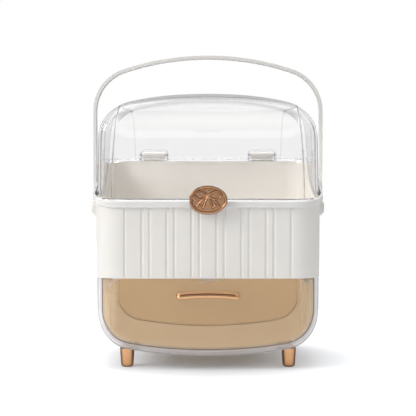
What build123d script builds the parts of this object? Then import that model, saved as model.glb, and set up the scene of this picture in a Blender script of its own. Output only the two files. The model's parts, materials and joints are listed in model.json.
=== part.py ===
from build123d import *
import os
from math import cos, radians, sin, sqrt, tan

# Storage organizer: a white ribbed tub on a clear drawer housing, under a clear dome lid.
# Millimetres, +Z up, front towards -Y, left hand of the viewer towards -X.
# Every builder works about the middle of the case, and export moves all pieces by
# CASE_SHIFT so that the origin lies on the floor below the middle of the whole object.

# Case plan and heights
TUB_WIDTH = 239.0
TUB_DEPTH = 164.0
TUB_CORNER_R = 28.0
TUB_WALL = 2.5
TUB_FLOOR = 3.0
JOINT_Z = 96.6
RIM_FRONT_Z = 177.5
RIM_SLOPE_DEG = 15.3

# Grooves in the tub wall: pairs of grooves between flat panels
PANEL_WIDTH = 17.9
NARROW_RIB = 8.2
GROOVE_R = 2.2
GROOVE_DEPTH = 1.0
GROOVE_PAIRS = 3
GROOVE_END_GAP = 1.4
SIDE_GROOVE_Y = 38.0

# Drawer housing
HOUSING_STEP = 1.3
HOUSING_CORNER_R = 26.5
HOUSING_WALL = 3.2
HOUSING_BOTTOM_Z = 15.1
HOUSING_EDGE_R = 42.0
HOUSING_CROWN_R = 500.0
MOUTH_INSET = 6.3
LEDGE_WIDTH = 12.0
LEDGE_THICK = 3.0
LEDGE_FRONT_GAP = 18.0
BOSS_R = 4.0
BOSS_DEPTH = 7.5
BOSS_SIDE = 13.0
BOSS_END = 36.0
CASE_SCREW_R = 1.5
CASE_SCREW_HEAD_R = 3.0
CASE_SCREW_HEAD = 1.8
CASE_SCREW_LENGTH = 8.0
SCREW_FIT = 0.1

# Drawer
PANEL_GAP = 0.5
PANEL_THICK = 2.6
PANEL_REACH = 13.0
TRAY_INSET = 8.2
TRAY_WALL = 2.2
TRAY_TOP_Z = 82.0
TRAY_CORNER_GAP = 1.2
TRAY_BACK_GAP = 6.0
TRAY_STOP_HEIGHT = 10.6
TRAY_STOP_WIDTH = 16.0
STOP_RIB_WIDTH = 22.0
STOP_RIB_THICK = 3.0
STOP_RIB_HEIGHT = 6.4
STOP_RIB_GAP = 0.3
DRAWER_TRAVEL = 118.0
RUNNER_SIDE = 43.0
RUNNER_WIDTH = 3.5
RUNNER_LENGTH = 68.0
RUNNER_SETBACK = 17.0
RUNNER_GAP = 0.3

# Drawer pull
PULL_WIDTH = 66.4
PULL_HEIGHT = 5.8
PULL_THICK = 3.2
PULL_STANDOFF = 9.8
PULL_ARCH = 2.0
PULL_Z = 79.0
PULL_BEND_R = 4.5
PULL_END_R = 1.8
PULL_SCREW_R = 1.2
PULL_SCREW_HEAD_R = 2.6
PULL_SCREW_HEAD = 1.4

# Feet
FOOT_SIDE = 32.9
FOOT_SETBACK = 24.0
FOOT_TOP_R = 7.8
FOOT_TIP_R = 6.5
FOOT_HEIGHT = 20.0
FOOT_NECK_R = 5.0
FOOT_FLAT_R = 3.2
FOOT_SCREW_R = 1.6
FOOT_SCREW_DEPTH = 10.0
FOOT_SCREW_HEAD_R = 3.2
FOOT_SCREW_HEAD = 1.6

# Lid
LID_WALL = 2.4
LID_INSET = 1.0
LID_TOP_Z = 294.7
LID_CROWN_R = 332.0
LID_EDGE_R = 38.0
LID_LEAN_DEG = 1.4
LID_FRONT_CORNER_R = 17.0
LID_BACK_CORNER_R = 32.0
LID_SIDE_EDGE_R = 50.0
LID_SIDE_CROWN_R = 420.0
LID_SIDE_LEAN_DEG = 2.5
LID_SIDE_TOP_RISE = 1.5
FLANGE_REACH = 3.5
FLANGE_THICK = 3.6
SKIRT_DEPTH = 4.6
SKIRT_GAP = 0.8
SKIRT_END_Y = 36.0

# Lid hinges
HINGE_SIDE = 55.0
HINGE_WIDTH = 33.5
HINGE_EAR = 3.2
HINGE_SIDE_GAP = 0.4
HINGE_AXIS_OUT = 7.5
HINGE_AXIS_UP = 6.0
HINGE_PIN_R = 1.5
HINGE_PIN_FIT = 0.05
HINGE_KNUCKLE_R = 3.8
HINGE_EAR_R = 4.4
HINGE_ROOF_GAP = 0.8
HINGE_ROOF = 2.0
HINGE_WEB_THICK = 4.2
HINGE_FOOT_HEIGHT = 12.0
HINGE_NOTCH_GAP = 0.6

# Bail handle
BAIL_GAP = 1.2
BAIL_THICK = 3.2
BAIL_DEPTH = 14.0
BAIL_TOP_Z = 337.2
BAIL_CROWN_R = 300.0
BAIL_CORNER_R = 49.0
BAIL_PIVOT_Z = 168.5
BAIL_EYE_R = 8.6
BAIL_PIVOT_R = 3.0
BAIL_PIVOT_FIT = 0.05
BAIL_CAP_R = 6.2
BAIL_CAP_THICK = 1.8
BAIL_CAP_GAP = 0.3
BAIL_BOSS_R = 8.0
BAIL_BOSS_GAP = 0.35
BAIL_EYE_THICK = 4.6

# Latch
LATCH_PIN_Z = 190.0
LATCH_PIN_OUT = 4.9
LATCH_PIN_R = 1.2
LATCH_PIN_FIT = 0.05
LATCH_KNUCKLE_R = 2.5
LATCH_WIDTH = 12.4
LATCH_EAR = 2.6
LATCH_SIDE_GAP = 0.3
LATCH_PLATE = 2.4
LATCH_PLATE_GAP = 1.4
LATCH_BOTTOM_Z = 165.6
LATCH_LIP_HEIGHT = 2.8
LATCH_LIP_GAP = 0.9
CATCH_REACH = 0.5
CATCH_HEIGHT = 1.6
MEDAL_WIDTH = 41.0
MEDAL_HEIGHT = 30.6
MEDAL_Z = 179.2
MEDAL_THICK = 3.6
MEDAL_SWELL = (
    (0, 1.0), (30, 1.0), (60, 0.99), (90, 1.0), (120, 1.0), (148, 0.985), (168, 0.95),
    (182, 0.93), (197, 0.985), (216, 1.01), (242, 1.0), (270, 1.0), (300, 0.99), (330, 0.99),
)
MEDAL_ROUND = 1.3
MEDAL_FIELD_INSET = 2.3
MEDAL_FIELD_DEPTH = 0.7
BOW_RELIEF = 0.8
BOW_LOOP_X = 8.0
BOW_LOOP_Z = 2.6
BOW_LOOP_LENGTH = 12.5
BOW_LOOP_HEIGHT = 8.0
BOW_BAND = 1.5
BOW_TAIL_LENGTH = 14.0
BOW_TAIL_WIDTH = 2.4
BOW_TAIL_TURN = 34.0
BOW_KNOT_WIDTH = 4.0
BOW_KNOT_HEIGHT = 5.0

# Reach of the whole object to the front and the back, from the middle of the case
HALF_WIDTH = TUB_WIDTH / 2
HALF_DEPTH = TUB_DEPTH / 2
HOUSING_HALF = HALF_WIDTH - HOUSING_STEP
HINGE_X = HALF_WIDTH - HINGE_SIDE
RIM_SLOPE = tan(radians(RIM_SLOPE_DEG))
PULL_FRONT = HALF_DEPTH + PULL_STANDOFF + PULL_THICK
HINGE_Y = HALF_DEPTH + HINGE_AXIS_OUT
HINGE_BACK = HINGE_Y + HINGE_EAR_R
CASE_SHIFT = (PULL_FRONT - HINGE_BACK) / 2
FAR = 400.0


def rim_z(y):
    """Height of the slanted rim at a place y from the middle of the case."""
    return RIM_FRONT_Z + RIM_SLOPE * (y + HALF_DEPTH)


HINGE_Z = rim_z(HALF_DEPTH) + HINGE_AXIS_UP


# Plain solids

def prism_y(face, front, back):
    """A face drawn in X and Z, carried from y = front to y = back."""
    plane = Plane(origin=(0, back, 0), x_dir=(1, 0, 0), z_dir=(0, -1, 0))
    return extrude(plane * face, amount=back - front, dir=(0, -1, 0))


def prism_x(face, left, right):
    """A face drawn in Y and Z, carried from x = left to x = right."""
    plane = Plane(origin=(left, 0, 0), x_dir=(0, 1, 0), z_dir=(1, 0, 0))
    return extrude(plane * face, amount=right - left, dir=(1, 0, 0))


def prism_z(face, bottom, top):
    """A face drawn in X and Y, carried from z = bottom to z = top."""
    return extrude(Pos(0, 0, bottom) * face, amount=top - bottom, dir=(0, 0, 1))


def block(x0, x1, y0, y1, z0, z1):
    """A box between two corners."""
    box = Box(x1 - x0, y1 - y0, z1 - z0)
    return Pos((x0 + x1) / 2, (y0 + y1) / 2, (z0 + z1) / 2) * box


def rod_x(radius, left, right, y, z):
    """A round rod along X."""
    rod = Cylinder(radius, right - left)
    return Pos((left + right) / 2, y, z) * Rot(0, 90, 0) * rod


def rod_y(radius, front, back, x, z):
    """A round rod along Y."""
    rod = Cylinder(radius, back - front)
    return Pos(x, (front + back) / 2, z) * Rot(90, 0, 0) * rod


def rod_z(radius, bottom, top, x, y):
    """A round rod along Z."""
    return Pos(x, y, (bottom + top) / 2) * Cylinder(radius, top - bottom)


def polygon(points):
    """A face between straight lines through the points."""
    return Face(Wire(Polyline(*points, close=True).edges()))


def plan(inset, front_r, back_r, half_width=HALF_WIDTH):
    """The case seen from above, drawn in by inset, with its own front and back corners."""
    wide = half_width - inset
    deep = HALF_DEPTH - inset
    face = polygon([(-wide, -deep), (wide, -deep), (wide, deep), (-wide, deep)])
    corners = face.vertices()
    front = [v for v in corners if v.Y < 0]
    face = face.fillet_2d(front_r - inset, front)
    back = [v for v in face.vertices() if v.Y > deep - 0.01]
    return face.fillet_2d(back_r - inset, back)


def tub_plan(inset):
    return plan(inset, TUB_CORNER_R, TUB_CORNER_R)


def housing_plan(inset):
    return plan(inset, HOUSING_CORNER_R, HOUSING_CORNER_R, HOUSING_HALF)


def below_rim(drop):
    """Everything below a plane that lies drop under the slanted rim."""
    points = [
        (-FAR, rim_z(-FAR) - drop),
        (FAR, rim_z(FAR) - drop),
        (FAR, -FAR),
        (-FAR, -FAR),
    ]
    return prism_x(polygon(points), -FAR, FAR)


def crowned_corner(half_width, end_z, apex_z, corner_r, crown_r, lean_deg):
    """Corner points of an outline with leaning sides and one crowned end.

    The corner arc touches the side line and the crown arc. It gives the point on the
    side, the middle of the corner arc and the point on the crown.
    """
    up = 1 if apex_z > end_z else -1
    lean = radians(lean_deg)
    side = Vector(-sin(lean), up * cos(lean))
    inward = Vector(-cos(lean), -up * sin(lean))
    crown_centre = Vector(0, apex_z - up * crown_r)
    reach = crown_r - corner_r
    start = Vector(half_width, end_z) + inward * corner_r - crown_centre
    along = start.dot(side)
    travel = -along + sqrt(along ** 2 - start.dot(start) + reach ** 2)
    centre = start + side * travel + crown_centre
    outward = (centre - crown_centre) * (1 / reach)
    on_side = centre - inward * corner_r
    middle = centre + (outward - inward).normalized() * corner_r
    on_crown = crown_centre + outward * crown_r
    return on_side, middle, on_crown


def crowned(half_width, end_z, apex_z, corner_r, crown_r, lean_deg=0.0):
    """A face with one straight end, two sides, two corner arcs and a crowned end."""
    corner = crowned_corner(half_width, end_z, apex_z, corner_r, crown_r, lean_deg)
    on_side, middle, on_crown = [(p.X, p.Y) for p in corner]

    def other(point):
        return (-point[0], point[1])

    foot = (half_width, end_z)
    edges = [
        Edge.make_line(other(foot), foot),
        Edge.make_line(foot, on_side),
        Edge.make_three_point_arc(on_side, middle, on_crown),
        Edge.make_three_point_arc(on_crown, (0, apex_z), other(on_crown)),
        Edge.make_three_point_arc(other(on_crown), other(middle), other(on_side)),
        Edge.make_line(other(on_side), other(foot)),
    ]
    return Face(Wire(edges))


# Tub

def groove_offsets():
    """Places of the grooves to one side of the middle of the front."""
    pitch = PANEL_WIDTH + NARROW_RIB
    first = PANEL_WIDTH / 2
    places = []
    for pair in range(GROOVE_PAIRS):
        places += [first + pair * pitch, first + pair * pitch + NARROW_RIB]
    places.append(first + GROOVE_PAIRS * pitch)
    return places


def groove_cutters():
    """Round cutters along Z for the grooves in all four walls."""
    out = GROOVE_R - GROOVE_DEPTH
    bottom = JOINT_Z + GROOVE_END_GAP
    cutters = []
    for x in groove_offsets():
        for side in (-1, 1):
            for face in (-1, 1):
                y = face * (HALF_DEPTH + out)
                cutters.append(rod_z(GROOVE_R, bottom, FAR, side * x, y))
    for side in (-1, 1):
        for end in (-1, 1):
            for half in (-1, 1):
                y = end * SIDE_GROOVE_Y + half * NARROW_RIB / 2
                x = side * (HALF_WIDTH + out)
                cutters.append(rod_z(GROOVE_R, bottom, FAR, x, y))
    return cutters


def tub():
    """The white ribbed tub with its slanted rim, bosses, catch, stop rib and knuckles."""
    outer = prism_z(tub_plan(0), JOINT_Z, FAR)
    for cutter in groove_cutters():
        outer -= cutter
    inner = prism_z(tub_plan(TUB_WALL), JOINT_Z + TUB_FLOOR, FAR)
    body = (outer - inner) & below_rim(0)
    for side in (-1, 1):
        low, high = sorted((side * (HALF_WIDTH - TUB_WALL), side * bail_boss_x()))
        body += rod_x(BAIL_BOSS_R, low, high, 0, BAIL_PIVOT_Z)
        low, high = sorted((side * (HALF_WIDTH - 2 * TUB_WALL), side * FAR / 2))
        body -= rod_x(BAIL_PIVOT_R, low, high, 0, BAIL_PIVOT_Z)
    lip_top = LATCH_BOTTOM_Z + LATCH_LIP_HEIGHT
    body += block(
        -LATCH_WIDTH / 2, LATCH_WIDTH / 2,
        -HALF_DEPTH - CATCH_REACH, -HALF_DEPTH + TUB_WALL / 2,
        lip_top, lip_top + CATCH_HEIGHT,
    )
    rib_back = tray_span()[1] - TRAY_WALL - DRAWER_TRAVEL - STOP_RIB_GAP
    body += block(
        -STOP_RIB_WIDTH / 2, STOP_RIB_WIDTH / 2,
        rib_back - STOP_RIB_THICK, rib_back,
        JOINT_Z - STOP_RIB_HEIGHT, JOINT_Z + TUB_FLOOR / 2,
    )
    for x, y in case_screw_places():
        body -= rod_z(CASE_SCREW_R + SCREW_FIT, JOINT_Z - 1, JOINT_Z + TUB_FLOOR + 1, x, y)
    for side in (-1, 1):
        body += tub_knuckle(side)
    return body


# Drawer housing

def housing_profile(inset, top=JOINT_Z):
    """The housing seen from the front, drawn in by inset."""
    return crowned(
        HOUSING_HALF - inset, top, HOUSING_BOTTOM_Z + inset,
        HOUSING_EDGE_R - inset, HOUSING_CROWN_R - inset,
    )


def housing_body(inset):
    """The rounded lower body, drawn in by inset all round."""
    upright = prism_z(housing_plan(inset), 0, JOINT_Z)
    return upright & prism_y(housing_profile(inset), -FAR, FAR)


def case_screw_places():
    x, y = HALF_WIDTH - BOSS_SIDE, HALF_DEPTH - BOSS_END
    return [(side * x, end * y) for side in (-1, 1) for end in (-1, 1)]


def drawer_housing():
    """The clear shell that the drawer slides in, with a ledge under the tub."""
    inner = housing_body(HOUSING_WALL)
    body = housing_body(0) - inner
    mouth = housing_profile(MOUTH_INSET, JOINT_Z + TUB_FLOOR)
    body -= prism_y(mouth, -FAR, 0)
    ledge = prism_z(housing_plan(HOUSING_WALL / 2), JOINT_Z - LEDGE_THICK, JOINT_Z)
    ledge -= prism_z(housing_plan(HOUSING_WALL + LEDGE_WIDTH), 0, FAR)
    ledge -= block(-FAR, FAR, -FAR, -HALF_DEPTH + LEDGE_FRONT_GAP, 0, FAR)
    body += ledge
    for x, y in case_screw_places():
        body += rod_z(BOSS_R, JOINT_Z - BOSS_DEPTH, JOINT_Z, x, y)
    for x, y in case_screw_places():
        body -= rod_z(CASE_SCREW_R + SCREW_FIT, JOINT_Z - CASE_SCREW_LENGTH, JOINT_Z + 1, x, y)
    for x, y in foot_places():
        body -= rod_z(FOOT_SCREW_R + SCREW_FIT, 0, JOINT_Z / 2, x, y)
    return body


def case_screws():
    """Four screws that hold the tub down on the housing."""
    top = JOINT_Z + TUB_FLOOR
    shank_end = top - CASE_SCREW_LENGTH
    screws = []
    for x, y in case_screw_places():
        shank = rod_z(CASE_SCREW_R, shank_end, top, x, y)
        head = rod_z(CASE_SCREW_HEAD_R, top, top + CASE_SCREW_HEAD, x, y)
        screws.append(shank + head)
    return Compound(children=screws)


def runner(side):
    """One strip on the housing floor that the tray slides on."""
    front = -HALF_DEPTH + RUNNER_SETBACK
    x = side * (HALF_WIDTH - RUNNER_SIDE)
    strip = block(
        x - RUNNER_WIDTH / 2, x + RUNNER_WIDTH / 2,
        front, front + RUNNER_LENGTH, 0, JOINT_Z / 2,
    )
    strip &= housing_body(HOUSING_WALL)
    return strip - prism_y(housing_profile(TRAY_INSET - RUNNER_GAP), -FAR, FAR)


# Drawer

def drawer_front():
    """The amber front that closes the mouth and follows the rounded corners."""
    mouth = housing_profile(MOUTH_INSET + PANEL_GAP, JOINT_Z - PANEL_GAP)
    front = -HALF_DEPTH
    skin = housing_body(0) - housing_body(PANEL_THICK)
    panel = skin & prism_y(mouth, front - 1, front + PANEL_REACH)
    for x in pull_screw_places():
        hole = PULL_SCREW_R + SCREW_FIT
        panel -= rod_y(hole, front - 1, front + PANEL_THICK + 1, x, PULL_Z)
    return panel


def tray_span():
    """Front and back of the tray."""
    return -HALF_DEPTH + PANEL_THICK, HALF_DEPTH - HOUSING_WALL - TRAY_BACK_GAP


def tray_room(inset):
    """Room for the tray, drawn in by inset: behind the front's skin, inside the back."""
    near = prism_z(housing_plan(PANEL_THICK + inset), 0, FAR)
    far = prism_z(housing_plan(HOUSING_WALL + TRAY_CORNER_GAP + inset), 0, FAR)
    near &= block(-FAR, FAR, -FAR, 0, 0, FAR)
    return near + (far & block(-FAR, FAR, 0, FAR, 0, FAR))


def drawer_tray():
    """The amber tray behind the front, with a stop tab on its back wall."""
    front, back = tray_span()
    outer = prism_y(housing_profile(TRAY_INSET, TRAY_TOP_Z), front, back) & tray_room(0)
    hollow_front, hollow_back = front + TRAY_WALL, back - TRAY_WALL
    hollow = prism_y(housing_profile(TRAY_INSET + TRAY_WALL), hollow_front, hollow_back)
    hollow &= tray_room(TRAY_WALL)
    body = outer - hollow
    body += block(
        -TRAY_STOP_WIDTH / 2, TRAY_STOP_WIDTH / 2, back - TRAY_WALL, back,
        TRAY_TOP_Z - TRAY_WALL, TRAY_TOP_Z + TRAY_STOP_HEIGHT,
    )
    for x in pull_screw_places():
        hole = PULL_SCREW_R + SCREW_FIT
        body -= rod_y(hole, front - 1, front + TRAY_WALL + 1, x, PULL_Z)
    return body


def pull_screw_places():
    x = PULL_WIDTH / 2 - PULL_THICK
    return [-x, x]


def pull_arc(z):
    """The arched middle line of the pull, seen from the front."""
    half = PULL_WIDTH / 2
    return (-half, z), (0, z + PULL_ARCH), (half, z)


def drawer_pull():
    """A bar that arches upwards, with both ends turned back to the drawer front."""
    half = PULL_WIDTH / 2
    front = -HALF_DEPTH
    points = [(-half, front), (-half, -PULL_FRONT), (half, -PULL_FRONT), (half, front)]
    outer = polygon(points)
    outer = outer.fillet_2d(PULL_BEND_R, [v for v in outer.vertices() if v.Y < front - 1])
    thick = PULL_THICK
    points = [(-half + thick, front + 1), (-half + thick, -PULL_FRONT + thick),
              (half - thick, -PULL_FRONT + thick), (half - thick, front + 1)]
    inner = polygon(points)
    corners = [v for v in inner.vertices() if v.Y < front]
    inner = inner.fillet_2d(max(PULL_BEND_R - thick, 0.4), corners)
    bent = prism_z(outer - inner, PULL_Z - FAR / 4, PULL_Z + FAR / 4)
    tall = PULL_HEIGHT / 2
    low, high = pull_arc(PULL_Z - tall), pull_arc(PULL_Z + tall)
    edges = [
        Edge.make_three_point_arc(*low),
        Edge.make_line(low[2], high[2]),
        Edge.make_three_point_arc(*reversed(high)),
        Edge.make_line(high[0], low[0]),
    ]
    shape = Face(Wire(edges))
    shape = shape.fillet_2d(PULL_END_R, shape.vertices())
    pull = bent & prism_y(shape, -FAR, FAR)
    for x in pull_screw_places():
        hole = PULL_SCREW_R + SCREW_FIT
        pull -= rod_y(hole, front - PULL_STANDOFF / 2, front + 1, x, PULL_Z)
    return pull


def pull_screws():
    """Two screws from inside the tray into the ends of the pull."""
    inside = -HALF_DEPTH + PANEL_THICK + TRAY_WALL
    tip = -HALF_DEPTH - PULL_STANDOFF / 2
    screws = []
    for x in pull_screw_places():
        shank = rod_y(PULL_SCREW_R, tip, inside, x, PULL_Z)
        head = rod_y(PULL_SCREW_HEAD_R, inside, inside + PULL_SCREW_HEAD, x, PULL_Z)
        screws.append(shank + head)
    return Compound(children=screws)


# Feet

def foot_places():
    x, y = HALF_WIDTH - FOOT_SIDE, HALF_DEPTH - FOOT_SETBACK
    return [(side * x, end * y) for end in (-1, 1) for side in (-1, 1)]


def foot(x, y):
    """A tapered round foot with a rounded tip and a neck up to the curved housing."""
    half = [(0, 0), (FOOT_TIP_R, 0), (FOOT_TOP_R, FOOT_HEIGHT), (0, FOOT_HEIGHT)]
    face = polygon(half)
    tip = [v for v in face.vertices() if v.X > 1 and v.Y < 1]
    face = face.fillet_2d(FOOT_TIP_R - FOOT_FLAT_R, tip)
    body = revolve(Plane.XZ * face, axis=Axis.Z)
    body = Pos(x, y, 0) * body
    neck = rod_z(FOOT_NECK_R, FOOT_HEIGHT - 1, JOINT_Z / 2, x, y)
    body += neck - prism_y(housing_profile(0), -FAR, FAR)
    body -= prism_y(housing_profile(0), -FAR, FAR)
    hole_bottom = foot_screw_tip()
    return body - rod_z(FOOT_SCREW_R + SCREW_FIT, hole_bottom, JOINT_Z / 2, x, y)


def foot_screw_tip():
    return FOOT_HEIGHT - FOOT_SCREW_DEPTH


def foot_screws():
    """Four screws down through the housing floor into the feet."""
    seat = HOUSING_BOTTOM_Z + HOUSING_WALL
    cavity = prism_y(housing_profile(HOUSING_WALL), -FAR, FAR)
    screws = []
    for x, y in foot_places():
        shank = rod_z(FOOT_SCREW_R, foot_screw_tip(), JOINT_Z / 2, x, y) - cavity
        column = rod_z(FOOT_SCREW_HEAD_R, seat, JOINT_Z / 2, x, y)
        head = column & cavity & prism_y(lifted_floor(FOOT_SCREW_HEAD), -FAR, FAR)
        screws.append(shank + head)
    return Compound(children=screws)


def lifted_floor(thick):
    """The strip of the given height that lies on the housing floor."""
    floor = housing_profile(HOUSING_WALL - 0.01)
    return floor - housing_profile(HOUSING_WALL + thick)


# Lid

def lid_body(inset):
    """The dome, drawn in by inset: rounded from above, from the front and from the side."""
    foot_z = JOINT_Z
    half_width = HALF_WIDTH - LID_INSET
    half_depth = HALF_DEPTH - LID_INSET
    rise = tan(radians(LID_LEAN_DEG)) * (RIM_FRONT_Z - foot_z)
    front = crowned(
        half_width + rise - inset, foot_z, LID_TOP_Z - inset,
        LID_EDGE_R - inset, LID_CROWN_R - inset, LID_LEAN_DEG,
    )
    rise = tan(radians(LID_SIDE_LEAN_DEG)) * (RIM_FRONT_Z - foot_z)
    side = crowned(
        half_depth + rise - inset, foot_z, LID_TOP_Z + LID_SIDE_TOP_RISE - inset,
        LID_SIDE_EDGE_R - inset, LID_SIDE_CROWN_R - inset, LID_SIDE_LEAN_DEG,
    )
    above = plan(LID_INSET + inset, LID_FRONT_CORNER_R, LID_BACK_CORNER_R)
    body = prism_z(above, foot_z, FAR)
    body &= prism_y(front, -FAR, FAR)
    return body & prism_x(side, -FAR, FAR)


def lid_wall_y(z):
    """Place of the dome's front wall at a height below its rounding."""
    lean = tan(radians(LID_SIDE_LEAN_DEG)) * (z - RIM_FRONT_Z)
    return -(HALF_DEPTH - LID_INSET - max(lean, 0))


def lid_dome():
    """The clear dome with its flange, front skirt, hinge notches and latch ears."""
    inner = lid_body(LID_WALL)
    flange = prism_z(tub_plan(-FLANGE_REACH), 0, FAR) & below_rim(-FLANGE_THICK)
    skirt = prism_z(tub_plan(-FLANGE_REACH), 0, FAR) & below_rim(-FLANGE_THICK / 2)
    skirt -= below_rim(SKIRT_DEPTH)
    skirt -= prism_z(tub_plan(-SKIRT_GAP), 0, FAR)
    skirt -= block(-FAR, FAR, SKIRT_END_Y, FAR, 0, FAR)
    body = (lid_body(0) + flange) - below_rim(0)
    body += skirt
    body -= inner
    for side in (-1, 1):
        x = side * HINGE_X
        half = HINGE_WIDTH / 2 - HINGE_EAR
        wall = HALF_DEPTH + HINGE_NOTCH_GAP
        body -= block(x - half, x + half, wall, FAR, 0, FAR)
        body += lid_hinge_ears(side)
    for side in (-1, 1):
        body += latch_ear(side)
    return body - inner


def lid_hinge_ears(side):
    """Two ears and a roof behind the dome that carry one hinge pin."""
    x = side * HINGE_X
    half = HINGE_WIDTH / 2
    wall = HALF_DEPTH - LID_INSET - LID_WALL / 2
    roof = HINGE_Z + HINGE_KNUCKLE_R + HINGE_ROOF_GAP
    foot = rim_z(HALF_DEPTH) + 0.3
    ears = None
    for end in (-1, 1):
        left, right = sorted((x + end * half, x + end * (half - HINGE_EAR)))
        ear = block(left, right, wall, HINGE_Y, HINGE_Z - HINGE_EAR_R / 2, roof)
        ear += rod_x(HINGE_EAR_R, left, right, HINGE_Y, HINGE_Z)
        ears = ear if ears is None else ears + ear
    ears += block(x - half, x + half, wall, HINGE_Y, roof, roof + HINGE_ROOF)
    ears -= below_rim(-(foot - rim_z(HALF_DEPTH)))
    ears -= rod_x(HINGE_PIN_R, x - half, x + half, HINGE_Y, HINGE_Z)
    return ears


def tub_knuckle(side):
    """The knuckle that is moulded on the tub's back wall and turns on the hinge pin."""
    x = side * HINGE_X
    half = HINGE_WIDTH / 2 - HINGE_EAR - HINGE_SIDE_GAP
    bottom = rim_z(HALF_DEPTH) - HINGE_FOOT_HEIGHT
    under = rim_z(HALF_DEPTH) - HINGE_WEB_THICK
    foot = block(x - half, x + half, HALF_DEPTH - TUB_WALL / 2, HINGE_Y, bottom, under)
    web_front = HINGE_Y - HINGE_KNUCKLE_R
    web = block(x - half, x + half, web_front, web_front + HINGE_WEB_THICK, under, HINGE_Z)
    body = foot + web + rod_x(HINGE_KNUCKLE_R, x - half, x + half, HINGE_Y, HINGE_Z)
    return body - rod_x(HINGE_PIN_R + HINGE_PIN_FIT, x - half, x + half, HINGE_Y, HINGE_Z)


def hinge_pin(side):
    """The steel pin, pressed into the lid's ears."""
    x = side * HINGE_X
    half = HINGE_WIDTH / 2
    return rod_x(HINGE_PIN_R, x - half, x + half, HINGE_Y, HINGE_Z)


# Bail handle

def bail_boss_x():
    """Outer face of the tub's pivot boss."""
    return bail_inner_x() - BAIL_BOSS_GAP - (BAIL_EYE_THICK - BAIL_THICK)


def bail_inner_x():
    """Inner face of the bail's legs, outside the lid's flange."""
    return HALF_WIDTH + FLANGE_REACH + BAIL_GAP


def bail():
    """The white strap handle with a round eye on each leg."""
    inner = bail_inner_x()
    outer = inner + BAIL_THICK
    arch = crowned(outer, BAIL_PIVOT_Z, BAIL_TOP_Z, BAIL_CORNER_R, BAIL_CROWN_R)
    arch -= crowned(
        inner, BAIL_PIVOT_Z, BAIL_TOP_Z - BAIL_THICK,
        BAIL_CORNER_R - BAIL_THICK, BAIL_CROWN_R - BAIL_THICK,
    )
    body = prism_y(arch, -BAIL_DEPTH / 2, BAIL_DEPTH / 2)
    for side in (-1, 1):
        low, high = sorted((side * outer, side * (outer - BAIL_EYE_THICK)))
        body += rod_x(BAIL_EYE_R, low, high, 0, BAIL_PIVOT_Z)
        bore = BAIL_PIVOT_R + BAIL_PIVOT_FIT
        body -= rod_x(bore, low - 1, high + 1, 0, BAIL_PIVOT_Z)
    return body


def bail_pivot(side):
    """A rivet with a round cap, pressed into the tub's boss."""
    inside = HALF_WIDTH - TUB_WALL
    face = bail_inner_x() + BAIL_THICK + BAIL_CAP_GAP
    low, high = sorted((side * inside, side * face))
    body = rod_x(BAIL_PIVOT_R, low, high, 0, BAIL_PIVOT_Z)
    low, high = sorted((side * face, side * (face + BAIL_CAP_THICK)))
    return body + rod_x(BAIL_CAP_R, low, high, 0, BAIL_PIVOT_Z)


# Latch

def latch_axis_y():
    return lid_wall_y(LATCH_PIN_Z) - LATCH_PIN_OUT


def latch_plate_y():
    """Inner face of the latch plate, in front of the flange."""
    return -(HALF_DEPTH + FLANGE_REACH + LATCH_PLATE_GAP)


def latch_ear(side):
    """One of two ears on the dome that carry the latch pin."""
    near = LATCH_WIDTH / 2 + LATCH_SIDE_GAP
    low, high = sorted((side * near, side * (near + LATCH_EAR)))
    y = latch_axis_y()
    wall = lid_wall_y(LATCH_PIN_Z) + LID_WALL / 2
    ear = rod_x(LATCH_KNUCKLE_R, low, high, y, LATCH_PIN_Z)
    ear += block(low, high, y, wall, LATCH_PIN_Z - LATCH_KNUCKLE_R, LATCH_PIN_Z + LATCH_KNUCKLE_R)
    return ear - rod_x(LATCH_PIN_R, low, high, y, LATCH_PIN_Z)


def latch_pin():
    """The pin between the ears."""
    end = LATCH_WIDTH / 2 + LATCH_SIDE_GAP + LATCH_EAR
    return rod_x(LATCH_PIN_R, -end, end, latch_axis_y(), LATCH_PIN_Z)


def latch_arm():
    """The plate behind the medallion, its knuckle and the lip below the rim."""
    half = LATCH_WIDTH / 2
    back = latch_plate_y()
    y = latch_axis_y()
    top = LATCH_PIN_Z + LATCH_KNUCKLE_R
    arm = block(-half, half, back - LATCH_PLATE, back, LATCH_BOTTOM_Z, top)
    arm += block(-half, half, back - LATCH_PLATE / 2, y, LATCH_PIN_Z, top)
    arm += rod_x(LATCH_KNUCKLE_R, -half, half, y, LATCH_PIN_Z)
    lip_end = -(HALF_DEPTH + LATCH_LIP_GAP)
    lip_top = LATCH_BOTTOM_Z + LATCH_LIP_HEIGHT
    arm += block(-half, half, back - LATCH_PLATE / 2, lip_end, LATCH_BOTTOM_Z, lip_top)
    return arm - rod_x(LATCH_PIN_R + LATCH_PIN_FIT, -half, half, y, LATCH_PIN_Z)


def medal_outline(inset):
    """The uneven oval of the medallion, seen from the front."""
    points = []
    for angle, swell in MEDAL_SWELL:
        x = (MEDAL_WIDTH / 2 * swell - inset) * cos(radians(angle))
        z = (MEDAL_HEIGHT / 2 * swell - inset) * sin(radians(angle))
        points.append((x, MEDAL_Z + z))
    return Face(Wire(Edge.make_spline(points, periodic=True)))


def medal_back():
    return latch_plate_y() - LATCH_PLATE


def medallion():
    """The rose-gold oval on the latch, with a raised edge and a plain ribbon bow."""
    back = medal_back()
    front = back - MEDAL_THICK
    body = prism_y(medal_outline(0), front, back)
    rim = [e for e in body.edges() if e.center().Y < front + 0.01]
    body = fillet(rim, MEDAL_ROUND)
    field = front + MEDAL_FIELD_DEPTH
    body -= prism_y(medal_outline(MEDAL_FIELD_INSET), front - 1, field)
    return body + bow(field)


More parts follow.
